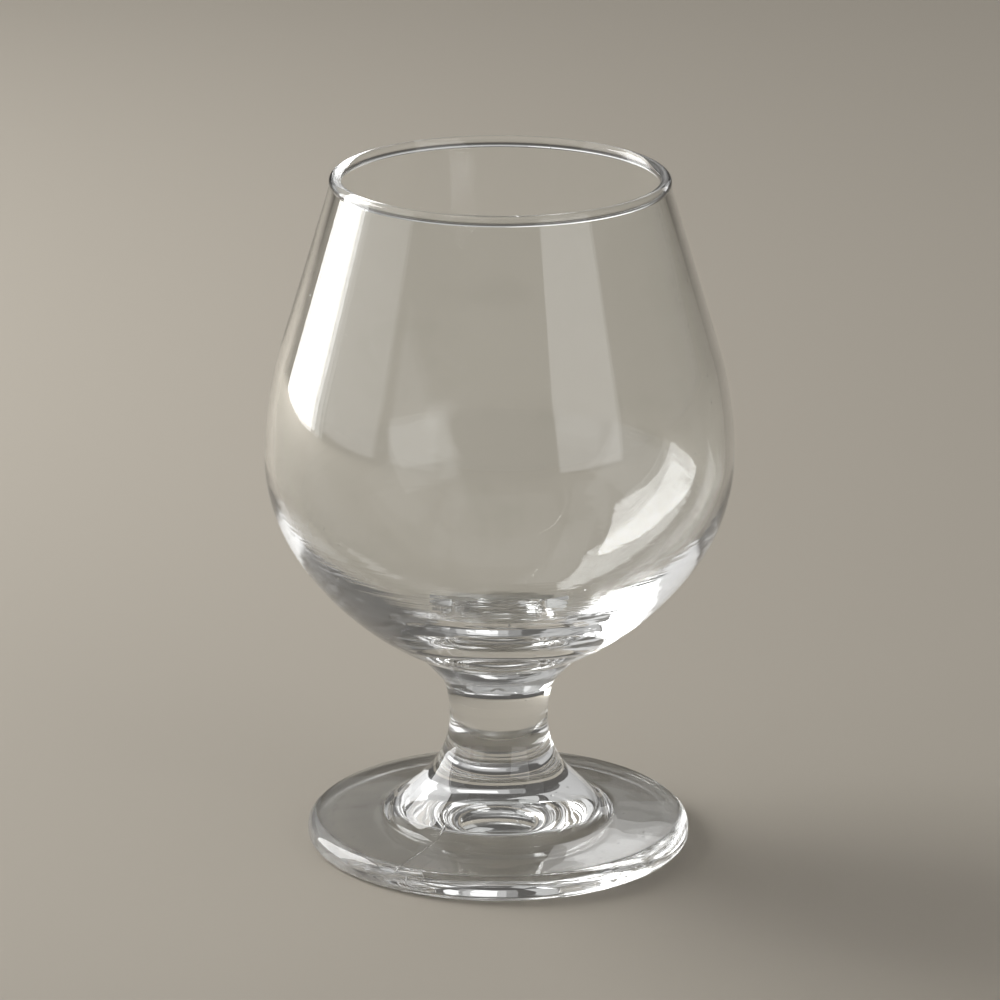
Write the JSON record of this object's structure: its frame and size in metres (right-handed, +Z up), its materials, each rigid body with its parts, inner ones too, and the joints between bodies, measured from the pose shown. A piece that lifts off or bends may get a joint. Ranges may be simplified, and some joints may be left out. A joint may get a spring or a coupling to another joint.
{
  "type": "brandy snifter",
  "caption": "Clear short-stem brandy glass: wide blown bowl drawn in to a beaded rim, thick floor, waisted solid stem and a heavy round pressed foot.",
  "frame": {"origin": "middle of the flat ring that the foot stands on", "axes": "+Z up along the axis of bowl, stem and foot; the glass is round about +Z"},
  "size_m": [0.0868, 0.0868, 0.128],
  "materials": {
    "blown_glass": "clear, fire-polished, with faint drawn waves",
    "pressed_glass": "clear, pressed and fire-polished, lightly worn on the ring it stands on"
  },
  "bodies": {
    "root": {"bowl": "blown_glass", "stem": "pressed_glass", "foot": "pressed_glass"}
  },
  "joints": []
}
